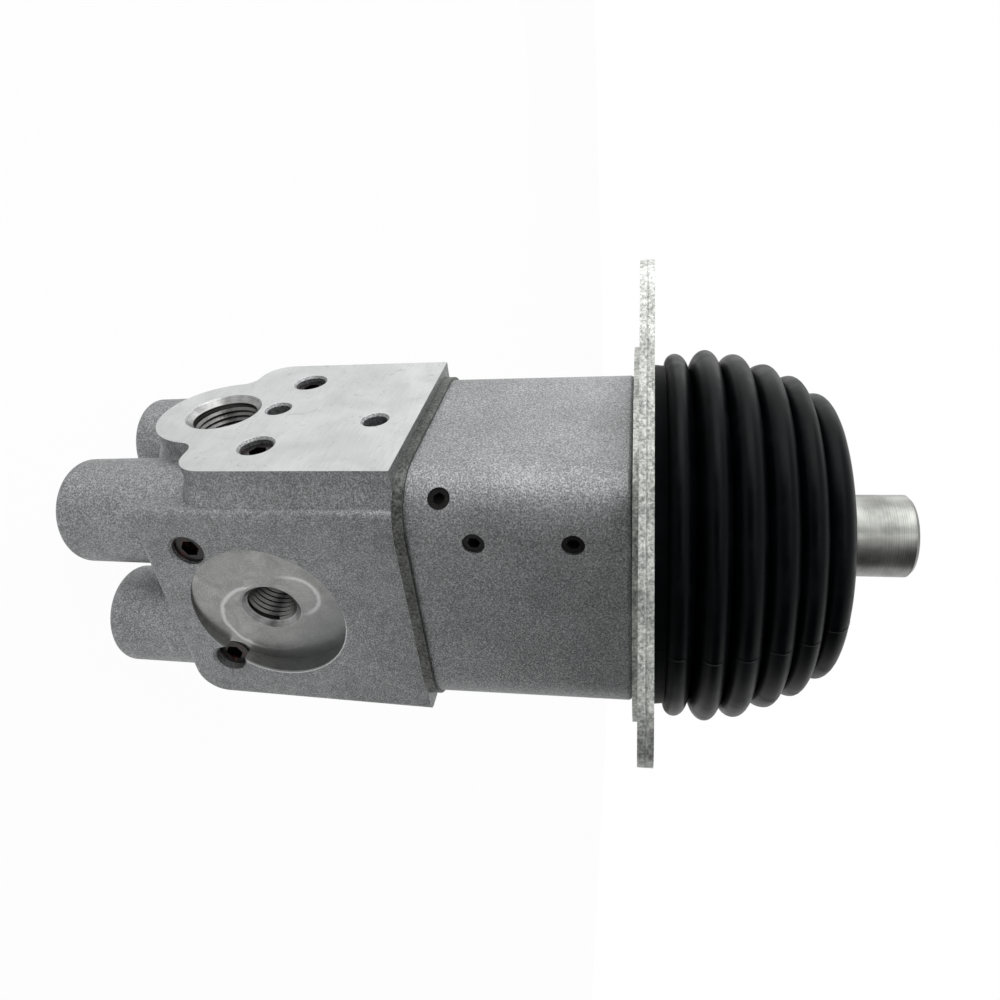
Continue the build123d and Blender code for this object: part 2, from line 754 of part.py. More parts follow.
lip_bore = neck_radius + soft_clearance
lip_low_z = neck_low_z + soft_clearance
lip_high_z = neck_high_z - soft_clearance
with BuildPart() as boot:
    with BuildSketch(upright(0, 0)):
        with BuildLine():
            outer_points = [(boot_bore_radius, plate_thickness), (boot_collar_radius, plate_thickness)]
            outer_points.append((boot_collar_radius, plate_thickness + boot_collar_height))
            for index, (rib_z, rib_radius) in enumerate(rib_places):
                rib_low = (rib_radius - rib_round, rib_z - rib_round)
                rib_high = (rib_radius - rib_round, rib_z + rib_round)
                Polyline(*outer_points, rib_low)
                ThreePointArc(rib_low, (rib_radius, rib_z), rib_high)
                outer_points = [rib_high]
                if index < len(valley_places):
                    valley_z, valley_radius = valley_places[index]
                    outer_points.append((valley_radius, valley_z))
            inner_points = []
            for index, (rib_z, rib_radius) in reversed(list(enumerate(rib_places))):
                inner_points.append((rib_radius - boot_rib_wall, rib_z))
                if index > 0:
                    valley_z, valley_radius = valley_places[index - 1]
                    inner_points.append((valley_radius - boot_wall, valley_z))
            Polyline(
                *outer_points,
                (boot_shoulder_radius, boot_shoulder_z),
                (boot_lip_radius, lip_high_z - boot_wall),
                (boot_lip_radius, lip_high_z),
                (lip_bore, lip_high_z),
                (lip_bore, lip_low_z),
                (boot_lip_radius, lip_low_z - soft_clearance),
                (boot_shoulder_radius - boot_wall, boot_shoulder_z - boot_wall),
                *inner_points,
                (boot_bore_radius, plate_thickness + boot_ring_height),
                (boot_bore_radius, plate_thickness),
            )
        make_face()
    revolve(axis=Axis.Z)
save(boot, "boot")
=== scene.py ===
import json
import math

import bmesh
import bpy
from mathutils import Matrix, Vector


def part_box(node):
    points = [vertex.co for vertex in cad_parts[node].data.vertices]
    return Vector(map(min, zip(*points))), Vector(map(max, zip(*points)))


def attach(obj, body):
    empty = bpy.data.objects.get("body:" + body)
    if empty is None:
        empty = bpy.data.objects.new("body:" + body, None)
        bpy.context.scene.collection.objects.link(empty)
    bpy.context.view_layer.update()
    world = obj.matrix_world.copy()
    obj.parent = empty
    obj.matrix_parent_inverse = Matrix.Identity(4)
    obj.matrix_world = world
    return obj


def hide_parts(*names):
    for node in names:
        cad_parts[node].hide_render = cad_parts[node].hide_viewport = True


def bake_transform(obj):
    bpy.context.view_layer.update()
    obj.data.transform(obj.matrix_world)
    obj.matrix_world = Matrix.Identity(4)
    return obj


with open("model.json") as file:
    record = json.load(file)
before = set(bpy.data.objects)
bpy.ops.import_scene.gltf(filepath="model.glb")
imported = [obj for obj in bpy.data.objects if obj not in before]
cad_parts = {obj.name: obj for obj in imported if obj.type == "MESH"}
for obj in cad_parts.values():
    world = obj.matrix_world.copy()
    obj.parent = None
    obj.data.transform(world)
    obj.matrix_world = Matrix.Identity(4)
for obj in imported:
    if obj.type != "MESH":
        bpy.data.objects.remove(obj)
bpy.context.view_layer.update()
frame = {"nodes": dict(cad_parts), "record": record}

# A hydraulic pilot joystick valve, dressed for its studio picture. Lengths in the materials and
# in the sizes below are millimetres; meshes are in metres, in the frame of the solid model.

MM = 0.001
NODES = frame["nodes"]
MOUNTS = {mount["name"]: mount for mount in frame["record"]["mounts"]}


def corners(node):
    """Lowest and highest corner of a solid, in millimetres."""
    low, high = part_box(node)
    return low / MM, high / MM


BODY_LOW, BODY_HIGH = corners("valve_body")
PLATE_LOW, PLATE_HIGH = corners("mounting_plate")
SEALING_LOW, SEALING_HIGH = corners("sealing_plate")
HOUSING_TOP = corners("upper_housing")[1].z
SHAFT_TOP = corners("lever_shaft")[1].z

LEVER_AXIS = ((0.0, 0.0, 0.0), (0.0, 0.0, 1.0))
ON_FACE = 0.04  # how near to a face's plane still counts as on it


# --- Nodes and objects ------------------------------------------------------------------------


def feed(tree, socket, value):
    """Links a socket to another one, or gives it a plain value."""
    if isinstance(value, bpy.types.NodeSocket):
        tree.links.new(value, socket)
    else:
        socket.default_value = value


def make_node(tree, kind, settings=None, sockets=None):
    """Adds a node with its settings, and feeds the sockets that are named or numbered."""
    made = tree.nodes.new(kind)
    for name, value in (settings or {}).items():
        setattr(made, name, value)
    for name, value in (sockets or {}).items():
        feed(tree, made.inputs[name], value)
    return made


def node_math(tree, operation, *values):
    made = make_node(tree, "ShaderNodeMath", {"operation": operation}, dict(enumerate(values)))
    return made.outputs[0]


def placed(thing):
    """Links an object to the scene and returns it."""
    bpy.context.scene.collection.objects.link(thing)
    return thing


def stood(start, way, track="Z"):
    """Turns the axis called track into way, and moves the origin to start."""
    return Matrix.Translation(start) @ way.to_track_quat(track, "Y").to_matrix().to_4x4()


def baked(holder):
    """The mesh that an object's modifiers make; the object itself is removed."""
    graph = bpy.context.evaluated_depsgraph_get()
    mesh = bpy.data.meshes.new_from_object(holder.evaluated_get(graph))
    bpy.data.objects.remove(holder)
    return mesh


def mesh_from(name, shape, smooth=True):
    """Merges doubles, turns the faces outwards and makes the mesh."""
    bmesh.ops.remove_doubles(shape, verts=shape.verts, dist=1e-7)
    bmesh.ops.recalc_face_normals(shape, faces=shape.faces)
    for face in shape.faces:
        face.smooth = smooth
    mesh = bpy.data.meshes.new(name)
    shape.to_mesh(mesh)
    shape.free()
    return mesh


def cleaned(name, mesh, smooth=True):
    """A copy of the mesh without doubles and with its faces turned outwards."""
    shape = bmesh.new()
    shape.from_mesh(mesh)
    return mesh_from(name, shape, smooth)


# --- Shader expressions ---------------------------------------------------------------------

# Places of the colour sockets on a Mix node
MIX_SHARE, MIX_FIRST, MIX_SECOND, MIX_RESULT = 0, 6, 7, 2


class Value:
    """A shader socket on which arithmetic adds Math nodes."""

    def __init__(self, finish, socket):
        self.finish = finish
        self.socket = socket

    def math(self, operation, *others):
        return self.finish.math(operation, self, *others)

    def __add__(self, other):
        return self.math("ADD", other)

    __radd__ = __add__

    def __sub__(self, other):
        return self.math("SUBTRACT", other)

    def __rsub__(self, other):
        return self.finish.math("SUBTRACT", other, self)

    def __mul__(self, other):
        return self.math("MULTIPLY", other)

    __rmul__ = __mul__

    def __gt__(self, other):
        return self.math("GREATER_THAN", other)

    def __lt__(self, other):
        return self.math("LESS_THAN", other)

    def __abs__(self):
        return self.math("ABSOLUTE")

    def wave(self, spacing):
        """A ripple from 0 to 1 that repeats every spacing."""
        return (self * (2 * math.pi / spacing)).math("SINE") * 0.5 + 0.5

    def or_(self, other):
        return self.math("MAXIMUM", other)

    def and_(self, other):
        return self * other


class Finish:
    """A material whose colour, roughness and relief are worked out from where a point lies."""

    def __init__(self, name):
        self.material = bpy.data.materials.new(name)
        self.material.use_nodes = True
        self.tree = self.material.node_tree
        self.shader = self.tree.nodes["Principled BSDF"]
        where = self.node("ShaderNodeTexCoord")
        self.place = self.vector("SCALE", Value(self, where.outputs["Object"]), scale=1 / MM)
        split = self.node("ShaderNodeSeparateXYZ", sockets={"Vector": self.place})
        self.x, self.y, self.z = (Value(self, split.outputs[axis]) for axis in "XYZ")

    def node(self, kind, settings=None, sockets=None):
        plain = {name: bare(value) for name, value in (sockets or {}).items()}
        return make_node(self.tree, kind, settings, plain)

    def feed(self, label, value):
        """Feeds one socket of the surface shader."""
        feed(self.tree, self.shader.inputs[label], bare(value))

    def math(self, operation, *values):
        return Value(self, node_math(self.tree, operation, *map(bare, values)))

    def vector(self, operation, *values, scale=None):
        sockets = dict(enumerate(values))
        if scale is not None:
            sockets["Scale"] = scale
        made = self.node("ShaderNodeVectorMath", {"operation": operation}, sockets)
        single = operation in ("DOT_PRODUCT", "LENGTH", "DISTANCE")
        return Value(self, made.outputs["Value" if single else "Vector"])

    def point(self, x, y, z):
        made = self.node("ShaderNodeCombineXYZ", sockets={"X": x, "Y": y, "Z": z})
        return Value(self, made.outputs[0])

    def noise(self, size, detail=3.0, rough=0.55, at=None, warp=0.0):
        """Cloudy noise from 0 to 1 whose lumps are about size millimetres across."""
        sockets = {"Vector": at or self.place, "Scale": 1 / size, "Detail": detail}
        sockets.update({"Roughness": rough, "Distortion": warp})
        return Value(self, self.node("ShaderNodeTexNoise", sockets=sockets).outputs["Fac"])

    def cells(self, size):
        """Distance to the nearest of many scattered points, about size millimetres apart."""
        made = self.node("ShaderNodeTexVoronoi", sockets={"Vector": self.place, "Scale": 1 / size})
        return Value(self, made.outputs["Distance"])

    def rise(self, value, low, high):
        """0 below low, 1 above high and a smooth rise between them."""
        sockets = {"Value": value, "From Min": low, "From Max": high}
        made = self.node("ShaderNodeMapRange", {"interpolation_type": "SMOOTHSTEP"}, sockets)
        return Value(self, made.outputs["Result"])

    def colour(self, share, first, second):
        """Mixes two colours: first where share is 0 and second where it is 1."""
        sockets = {MIX_SHARE: share, MIX_FIRST: solid(first), MIX_SECOND: solid(second)}
        made = self.node("ShaderNodeMix", {"data_type": "RGBA"}, sockets)
        return Value(self, made.outputs[MIX_RESULT])

    def from_axis(self, start, direction):
        """Distance from a line, and the distance along it, both in millimetres."""
        away = self.vector("SUBTRACT", self.place, tuple(start))
        along = self.vector("DOT_PRODUCT", away, tuple(direction))
        reach = self.vector("LENGTH", away)
        return (reach * reach - along * along).math("MAXIMUM", 0.0).math("SQRT"), along

    def done(self, colour, roughness, relief, depth, metallic=1.0):
        """Ends the material; relief runs from 0 to 1 over depth millimetres."""
        self.feed("Base Color", solid(colour))
        self.feed("Roughness", roughness)
        self.feed("Metallic", metallic)
        sockets = {"Height": relief, "Distance": depth * MM, "Strength": 1.0}
        self.feed("Normal", Value(self, self.node("ShaderNodeBump", sockets=sockets).outputs["Normal"]))
        return self.material


def bare(value):
    """The socket behind a Value, or a plain value as it is."""
    return value.socket if isinstance(value, Value) else value


def solid(colour):
    """A colour as its socket wants it."""
    return (*colour, 1) if isinstance(colour, tuple) and len(colour) == 3 else colour


class Skin:
    """The colour, roughness and relief of one kind of surface, before zones are put together."""

    def __init__(self, colour, roughness, relief):
        self.colour = colour
        self.roughness = roughness
        self.relief = relief

    def under(self, finish, mask, other):
        """This skin, with the other one where the mask is 1."""
        colour = finish.colour(mask, self.colour, other.colour)
        roughness = self.roughness * (1 - mask) + other.roughness * mask
        relief = self.relief * (1 - mask) + other.relief * mask
        return Skin(colour, roughness, relief)


# --- Skins ----------------------------------------------------------------------------------

# Each pair of colours holds the darkest and the lightest tone of one surface
CAST = (0.15, 0.153, 0.156), (0.46, 0.465, 0.47)
MILLED = (0.54, 0.555, 0.55), (0.66, 0.675, 0.67)
CHAMFERED = (0.16, 0.16, 0.158), (0.40, 0.405, 0.40)
BORED = (0.06, 0.06, 0.06), (0.28, 0.28, 0.275)
SPOT_FACED = (0.22, 0.222, 0.216), (0.40, 0.402, 0.392)
THREADED = (0.05, 0.05, 0.05), (0.24, 0.24, 0.235)
TURNED = (0.13, 0.133, 0.123), (0.34, 0.345, 0.325)
ZINC = (0.20, 0.205, 0.195), (0.76, 0.78, 0.74)
DULL_ZINC = (0.04, 0.042, 0.04), (0.22, 0.225, 0.215)
STEEL = (0.32, 0.32, 0.32), (0.58, 0.58, 0.57)
SPRING_STEEL = (0.16, 0.16, 0.165), (0.34, 0.34, 0.35)
BLACKED = (0.004, 0.004, 0.004), (0.014, 0.013, 0.012)
PLUG = (0.004, 0.003, 0.003), (0.075, 0.014, 0.009)
RUBBER = (0.0005, 0.0010, 0.0014), (0.0018, 0.0030, 0.0038)
NITRILE = (0.012, 0.012, 0.012), (0.03, 0.03, 0.031)

NICK = (0.66, 0.66, 0.66)
SCUFF = (0.36, 0.37, 0.36)
SHEARED = (0.2, 0.2, 0.205)
# Dark tone of oil and painted shade down the bores
OIL_AND_DEPTH_SHADE = (0.012, 0.011, 0.010)
# Bright tone of the painted highlights along the spot face's edges
PAINTED_EDGE_HIGHLIGHT = (0.86, 0.87, 0.87)
# Tone of the painted shade on the spot face's deep side
SPOT_SHADE = (0.14, 0.145, 0.15)

CAST_DEPTH = 0.13
BODY_PATCHES = 0.2
HOUSING_PATCHES = 0.06
FEED_LINE = 0.3


def cast_skin(finish, patches):
    """Sand-cast aluminium after shot blasting: bright and dark grains, patches and soft clouds."""
    grains = finish.cells(0.45)
    fine = finish.noise(0.34, detail=3.0, rough=0.75)
    cloud = finish.noise(14.0, detail=2.0)
    patch = finish.noise(1.8, detail=3.0, rough=0.7)
    nicks = finish.rise(finish.noise(2.6, detail=5.0, rough=0.8, warp=1.2), 0.64, 0.69)
    tone = finish.rise(fine * 0.7 + grains * 0.2 + cloud * 0.1 + (patch - 0.5) * patches, 0.37, 0.7)
    colour = finish.colour(nicks * 0.5, finish.colour(tone, *CAST), NICK)
    return Skin(colour, 0.44 + fine * 0.2, fine * 0.6 + grains * 0.4)


def milled_skin(finish, across):
    """A face-milled surface: fine lines along one way, faint smudges, scratches and scuffs."""
    lines = finish.noise(0.35, detail=2.0, at=across)
    smudge = finish.noise(11.0, detail=3.0, warp=0.6)
    scratch = finish.rise(finish.noise(2.2, detail=6.0, rough=0.8, warp=1.4), 0.63, 0.67)
    scuff = finish.rise(finish.noise(4.5, detail=6.0, rough=0.75, warp=2.5), 0.585, 0.64)
    tone = finish.rise(lines * 0.35 + smudge * 0.65, 0.3, 0.72)
    marked = (scratch * 0.7 + scuff * 0.5).math("MINIMUM", 1.0)
    colour = finish.colour(marked, finish.colour(tone, *MILLED), SCUFF)
    return Skin(colour, 0.3 + smudge * 0.16, lines * 0.25 - scratch * 0.3 + 0.4)


def chamfer_skin(finish, along):
    """A countersunk mouth, duller than the face it opens in."""
    lines = finish.noise(FEED_LINE, detail=2.0, at=finish.point(along, 0.0, 0.0))
    smudge = finish.noise(3.0, detail=3.0)
    tone = finish.rise(lines * 0.4 + smudge * 0.6, 0.3, 0.7)
    return Skin(finish.colour(tone, *CHAMFERED), 0.34 + smudge * 0.1, lines * 0.3)


def bored_skin(finish, along):
    """A drilled or bored wall with feed lines round it, darker further down with oil and painted shade.
    """
    lines = finish.noise(FEED_LINE, detail=1.0, at=finish.point(along, 0.0, 0.0))
    colour = finish.colour(finish.rise(lines, 0.35, 0.65), *BORED)
    # Painted shade, with oil: the wall darkens further down the bore
    colour = finish.colour(finish.rise(along, 5.0, -1.0), colour, OIL_AND_DEPTH_SHADE)
    return Skin(colour, 0.28 + lines * 0.15, lines * 0.5)


# The spot face: a round pocket whose floor leans, so that it runs out at the body's surface on
# one side. The arcs are where two passes of its cutter ended, each as the place of its centre
# from the middle of the pocket, its radius, and the way in which the painted highlight along it fades
# in.
SPOT_RADIUS = 19.75
SPOT_CENTRE = Vector((-2.7, 33.0, -89.6))
SPOT_LEAN_X = math.radians(-6.0)
SPOT_LEAN_Z = math.radians(4.0)
SPOT_WAY = Vector((math.tan(SPOT_LEAN_X), 1.0, math.tan(SPOT_LEAN_Z))).normalized()
SPOT_DEPTH = 2.5
SPOT_SIDE = 20.0
SPOT_ARCS = [((-4.1, -2.3), 11.5, (0.45, -1.0)), ((4.0, 6.4), 6.6, (0.2, 1.0))]
RING_SPACING = 0.55


def swirled_skin(finish, radius):
    """The spot face's floor: faint turning rings, crossed by the edges of two cutter passes with painted
    highlights along them, and painted shade towards its deep side.
    """
    rings = radius.wave(RING_SPACING)
    smudge = finish.noise(6.0, detail=3.0, warp=0.8)
    grain = finish.noise(0.5, detail=3.0)
    tone = finish.rise(rings * 0.07 + smudge * 0.6 + grain * 0.4, 0.3, 0.8)
    colour = finish.colour(tone, *SPOT_FACED)
    relief = rings * 0.03 + grain * 0.2
    for (aside, up), reach, (lean_x, lean_z) in SPOT_ARCS:
        across = finish.x - (SPOT_CENTRE.x + aside)
        along = finish.z - (SPOT_CENTRE.z + up)
        away = (across * across + along * along).math("SQRT")
        # Painted highlight along each cutter pass's edge, faded in from one side
        edge = 1 - finish.rise(abs(away - reach + (smudge - 0.5) * 1.5), 0.1, 0.8)
        arc_highlight = edge * finish.rise(across * lean_x + along * lean_z, -2.0, 4.0)
        colour = finish.colour(arc_highlight * 0.4, colour, PAINTED_EDGE_HIGHLIGHT)
        relief = relief + finish.rise(away, reach - 0.6, reach + 0.6) * 0.3
    # Painted shade: the floor darkens towards its deep lower side, where the wall shades it
    shade = finish.rise((finish.z - SPOT_CENTRE.z) - (finish.x - SPOT_CENTRE.x), 2.0, 22.0)
    colour = finish.colour(shade * 0.5, colour, SPOT_SHADE)
    return Skin(colour, 0.32 + smudge * 0.12, relief)


# --- Finishes of the solids -------------------------------------------------------------------

PORTS = ("pad_port", "side_port", "work_port_1", "work_port_2", "work_port_3", "work_port_4")
CHAMFER_REACH = 1.6
CHAMFER_RISE = 1.55
PORT_REACH = 22.0


def mount_axis(name):
    """A mount's point, in millimetres, and its outward direction."""
    mount = MOUNTS[name]
    return Vector(mount["pos_m"]) / MM, Vector(mount["axis"]).normalized()


def with_spot_face(finish, skin):
    """The skin with the spot face's floor and walls, and a painted highlight along its deep edge."""
    radius, along = finish.from_axis(SPOT_CENTRE, SPOT_WAY)
    pocket = (radius < SPOT_RADIUS + 0.1).and_(along > -SPOT_DEPTH - 0.05).and_(finish.y > SPOT_SIDE)
    inside = (finish.y < BODY_HIGH.y - 0.03).and_(pocket)
    skin = skin.under(finish, inside, swirled_skin(finish, radius))
    # Painted highlight: a bright line along the pocket's rim, kept to its lower side
    rim = (1 - finish.rise(abs(radius - SPOT_RADIUS), 0.05, 0.4)).and_(finish.y > BODY_HIGH.y - 0.5)
    below = SPOT_CENTRE.x - finish.x + (finish.z - SPOT_CENTRE.z) * 0.3
    rim = rim * finish.rise(below, 2.0, 12.0)
    return Skin(finish.colour(rim * 0.7, skin.colour, PAINTED_EDGE_HIGHLIGHT), skin.roughness, skin.relief)


def with_port(finish, skin, name):
    """The skin with one port's chamfer and wall."""
    start, way = mount_axis(name)
    radius, along = finish.from_axis(start, way)
    size = MOUNTS[name]["dims"]
    below = along < size["length_mm"] / 2 + CHAMFER_RISE
    chamfer = (radius < size["r_mm"] + CHAMFER_REACH).and_(below).and_(along > -PORT_REACH)
    skin = skin.under(finish, chamfer, chamfer_skin(finish, along))
    bored = (radius < size["r_mm"] + 0.05).and_(along > -PORT_REACH).and_(along < PORT_REACH)
    return skin.under(finish, bored, bored_skin(finish, along))


def valve_body_finish():
    """Blasted casting, with its pad, boss ends, spot face and ports machined."""
    finish = Finish("blasted_casting_with_milled_faces")
    skin = cast_skin(finish, BODY_PATCHES)
    stretched = finish.point(finish.x, finish.y * 0.06, finish.z)
    skin = skin.under(finish, finish.x > BODY_HIGH.x - ON_FACE, milled_skin(finish, stretched))
    skin = with_spot_face(finish, skin)
    skin = skin.under(finish, finish.z < BODY_LOW.z + ON_FACE, milled_skin(finish, stretched))
    for name in PORTS:
        skin = with_port(finish, skin, name)
    return finish.done(skin.colour, skin.roughness, skin.relief, CAST_DEPTH)


def casting_finish():
    """Blasted casting, with the upper housing's top turned."""
    finish = Finish("blasted_casting")
    skin = cast_skin(finish, HOUSING_PATCHES)
    radius, along = finish.from_axis(*LEVER_AXIS)
    turned = milled_skin(finish, finish.point(radius, 0.0, 0.0))
    skin = skin.under(finish, finish.z > HOUSING_TOP - ON_FACE, turned)
    return finish.done(skin.colour, skin.roughness, skin.relief, CAST_DEPTH)


def zinc_finish(name, low, high, tones, shear_line):
    """Zinc plating over cut sheet, whose rim shows where the shear broke through."""
    finish = Finish(name)
    fine = finish.noise(0.7, detail=5.0, rough=0.72)
    mottle = finish.noise(4.5, detail=4.0, rough=0.65)
    middle = (low + high) / 2
    line = 1 - finish.rise(abs(finish.z - middle + (mottle - 0.5) * 0.7), 0.08, 0.32)
    faces = (finish.z > high - 0.06).or_(finish.z < low + 0.06)
    tone = finish.rise(fine * 0.7 + mottle * 0.3, 0.36, 0.68)
    marked = line * (1 - faces) * shear_line
    colour = finish.colour(marked * 0.35, finish.colour(tone, *tones), SHEARED)
    relief = fine * 0.6 + mottle * 0.3 - marked * 0.5
    return finish.done(colour, 0.4 + fine * 0.24, relief, depth=0.06)


def turned_finish():
    """Turned steel: fine lines round the shank and rings on its end."""
    finish = Finish("turned_steel")
    radius, along = finish.from_axis(*LEVER_AXIS)
    on_end = finish.z > SHAFT_TOP - 0.05
    across = finish.point(finish.z * (1 - on_end) + radius * on_end, 0.0, 0.0)
    lines = finish.noise(0.22, detail=3.0, rough=0.7, at=across)
    smudge = finish.noise(6.0, detail=3.0)
    colour = finish.colour(finish.rise(lines * 0.6 + smudge * 0.4, 0.34, 0.66), *TURNED)
    return finish.done(colour, 0.28 + lines * 0.16, lines, depth=0.02)


def machined_finish(name, tones, roughness, metallic=1.0, depth=0.02, gleam=0.5):
    """Plain machined or ground metal with an even fine grain."""
    finish = Finish(name)
    finish.feed("Specular IOR Level", gleam)
    fine = finish.noise(0.5, detail=4.0)
    cloud = finish.noise(5.0, detail=3.0)
    colour = finish.colour(finish.rise(fine * 0.4 + cloud * 0.6, 0.35, 0.65), *tones)
    return finish.done(colour, roughness + fine * 0.15, fine, depth, metallic)


def plug_finish():
    """Black oxide stained red-brown by thread-locking compound."""
    finish = Finish("stained_black_oxide")
    fine = finish.noise(0.6, detail=4.0)
    stain = finish.rise(finish.noise(2.4, detail=4.0, warp=0.5), 0.5, 0.7)
    return finish.done(finish.colour(stain, *PLUG), 0.2 + stain * 0.25, fine, depth=0.03, metallic=0.3)


def thread_finish():
    finish = Finish("tapped_thread")
    fine = finish.noise(0.5, detail=3.0)
    return finish.done(finish.colour(fine, *THREADED), 0.26 + fine * 0.15, fine, depth=0.01)


def rubber_finish():
    """Satin moulded rubber: fine mould grain, and a greyer bloom on the ribs."""
    finish = Finish("moulded_rubber")
    fine = finish.noise(0.5, detail=4.0, rough=0.7)
    bloom = finish.rise(finish.noise(7.0, detail=4.0, rough=0.6, warp=0.5), 0.4, 0.8)
    finish.feed("Specular IOR Level", 0.07)
    roughness = 0.3 + bloom * 0.16 + fine * 0.08
    return finish.done(finish.colour(bloom, *RUBBER), roughness, fine, depth=0.03, metallic=0.0)


def seal_finish():
    finish = Finish("nitrile_seal")
    fine = finish.noise(0.4, detail=3.0)
    return finish.done(finish.colour(fine, *NITRILE), 0.42 + fine * 0.12, fine, depth=0.02, metallic=0.0)


def dress(node, material):
    for slot in NODES[node].material_slots:
        slot.material = material


def dress_solids():
    """Gives every solid of the model its finish, and returns the finishes by slot or solid."""
    black = {"metallic": 0.0, "depth": 0.03, "gleam": 0.25}
    by_slot = {
        "cast_aluminium": casting_finish(),
        "zinc_plate": zinc_finish("zinc_plate", PLATE_LOW.z, PLATE_HIGH.z, ZINC, shear_line=1.0),
        "turned_steel": turned_finish(),
        "inner_steel": machined_finish("machined_steel", STEEL, 0.24),
        "spring_steel": machined_finish("oiled_spring_steel", SPRING_STEEL, 0.26),
        "black_screws": machined_finish("black_oxide", BLACKED, 0.26, **black),
        "boot_rubber": rubber_finish(),
        "seal_rubber": seal_finish(),
    }
    for part in frame["record"]["subparts"]:
        dress(part["node"], by_slot[part["material_slot"]])
    sealing = SEALING_LOW.z, SEALING_HIGH.z
    plug = plug_finish()
    by_solid = {
        "valve_body": valve_body_finish(),
        "sealing_plate": zinc_finish("zinc_sealing_plate", *sealing, DULL_ZINC, shear_line=0.0),
        "pad_plugs": plug,
        "side_plugs": plug,
    }
    for node, material in by_solid.items():
        dress(node, material)
    return {**by_slot, **by_solid}


# --- Pieces -----------------------------------------------------------------------------------

DRUM_SIDES = 160
SPOT_REACH = 8.0
MOUTH_DEPTH = 1.2
SHARP_EDGE = math.radians(28)
FACE_WEIGHT = 100
PLUG_FOOT = 26.0
PLUG_SINK = 1.1
PLUNGERS = 4


def add_piece(name, mesh, material):
    piece = placed(bpy.data.objects.new(name, mesh))
    mesh.materials.clear()
    mesh.materials.append(material)
    return piece


def solid_mesh(name):
    """A copy of a solid's mesh, where the solid stands."""
    mesh = NODES[name].data.copy()
    mesh.transform(NODES[name].matrix_world)
    return mesh


def drum(name, base, way, length, low_radius, high_radius):
    """A closed round cutter that stands on base and widens or narrows along way."""
    shape = bmesh.new()
    size = {"radius1": low_radius * MM, "radius2": high_radius * MM, "depth": length * MM}
    bmesh.ops.create_cone(shape, cap_ends=True, segments=DRUM_SIDES, **size)
    shape.transform(stood((base + way * length / 2) * MM, way))
    return placed(bpy.data.objects.new(name, mesh_from(name, shape)))


def spot_cutters():
    """The spot face's cutter, and the one that opens the side port's mouth in its floor."""
    floor = SPOT_CENTRE - SPOT_WAY * SPOT_DEPTH
    middle, way = mount_axis("side_port")
    mouth = middle + way * (floor - middle).dot(SPOT_WAY) / way.dot(SPOT_WAY)
    narrow = MOUNTS["side_port"]["dims"]["r_mm"]
    wide = narrow + 2 * MOUTH_DEPTH
    return [
        drum("spot_cutter", floor, SPOT_WAY, SPOT_REACH, SPOT_RADIUS, SPOT_RADIUS),
        drum("mouth_cutter", mouth - way * MOUTH_DEPTH, way, 2 * MOUTH_DEPTH, narrow, wide),
    ]


def cut_away(mesh, cutters):
    """The mesh less what its cutters fill; the cutters are used up."""
    worked = placed(bpy.data.objects.new("worked", mesh))
    for cutter in cutters:
        cut = worked.modifiers.new(cutter.name, "BOOLEAN")
        cut.operation = "DIFFERENCE"
        cut.solver = "EXACT"
        cut.object = cutter
    result = baked(worked)
    for cutter in cutters:
        bpy.data.objects.remove(cutter)
    return result


def weighed(mesh):
    """The mesh with its smooth normals led by its largest faces, so that flat faces stay flat."""
    holder = placed(bpy.data.objects.new("weighing", mesh))
    weigh = holder.modifiers.new("weigh", "WEIGHTED_NORMAL")
    weigh.keep_sharp = True
    weigh.weight = FACE_WEIGHT
    return baked(holder)


def add_valve_casting(material):
    """The valve body with its leaning spot face cut over the whole circle round the side port."""
    blank = solid_mesh("valve_body")
    blank.materials.clear()
    if "custom_normal" in blank.attributes:
        blank.attributes.remove(blank.attributes["custom_normal"])
    casting = cleaned("valve_casting", cut_away(blank, spot_cutters()))
    casting.set_sharp_from_angle(angle=SHARP_EDGE)
    piece = add_piece("valve_casting", weighed(casting), material)
    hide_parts("valve_body")
    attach(piece, "valve")


def add_side_plugs(material):
    """The side plugs; the one beside the spot face is screwed down below its floor."""
    mesh = solid_mesh("side_plugs")
    for vertex in mesh.vertices:
        if vertex.co.y > PLUG_FOOT * MM and vertex.co.x < 0:
            vertex.co.y -= PLUG_SINK * MM
    piece = add_piece("side_socket_plugs", mesh, material)
    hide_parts("side_plugs")
    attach(piece, "valve")


def add_springs(material):
    """The return springs, copied from their solids where they stand."""
    for number in range(1, PLUNGERS + 1):
        name = f"return_spring_{number}"
        piece = add_piece(f"spring_coils_{number}", solid_mesh(name), material)
        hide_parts(name)
        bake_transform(piece)


# --- Boot -------------------------------------------------------------------------------------

# Crests of the ribs and bottoms of the valleys between them, each as its height and its radius
RIBS = [(8.3, 45.1), (15.4, 45.8), (22.0, 44.6), (29.2, 42.0), (35.3, 39.1), (41.2, 34.8)]
VALLEYS = [(5.9, 42.3), (11.7, 39.4), (18.7, 40.2), (25.6, 38.9), (32.3, 36.5), (38.4, 32.8)]
VALLEYS += [(44.9, 27.0)]
SEAM_VALLEY = 3
RIB_STEPS = 9
RIB_BLUNTNESS = 0.9
RUBBER_WALL = 1.8
EDGE = 0.4

COLLAR_RADIUS = 42.6
COLLAR_LINE = [(3.0, COLLAR_RADIUS - EDGE), (3.3, COLLAR_RADIUS)]

LIP_RADIUS = 12.6
LIP_BORE = 9.3
LIP_LOW = 45.1
LIP_TOP = 48.3
LIP_LINE = [
    (LIP_LOW + 1.5, LIP_RADIUS + 1.6),
    (LIP_LOW + 2.2, LIP_RADIUS),
    (LIP_TOP - EDGE, LIP_RADIUS),
    (LIP_TOP, LIP_RADIUS - EDGE),
    (LIP_TOP, LIP_BORE),
    (LIP_LOW, LIP_BORE),
    (LIP_LOW - 0.6, LIP_RADIUS),
]


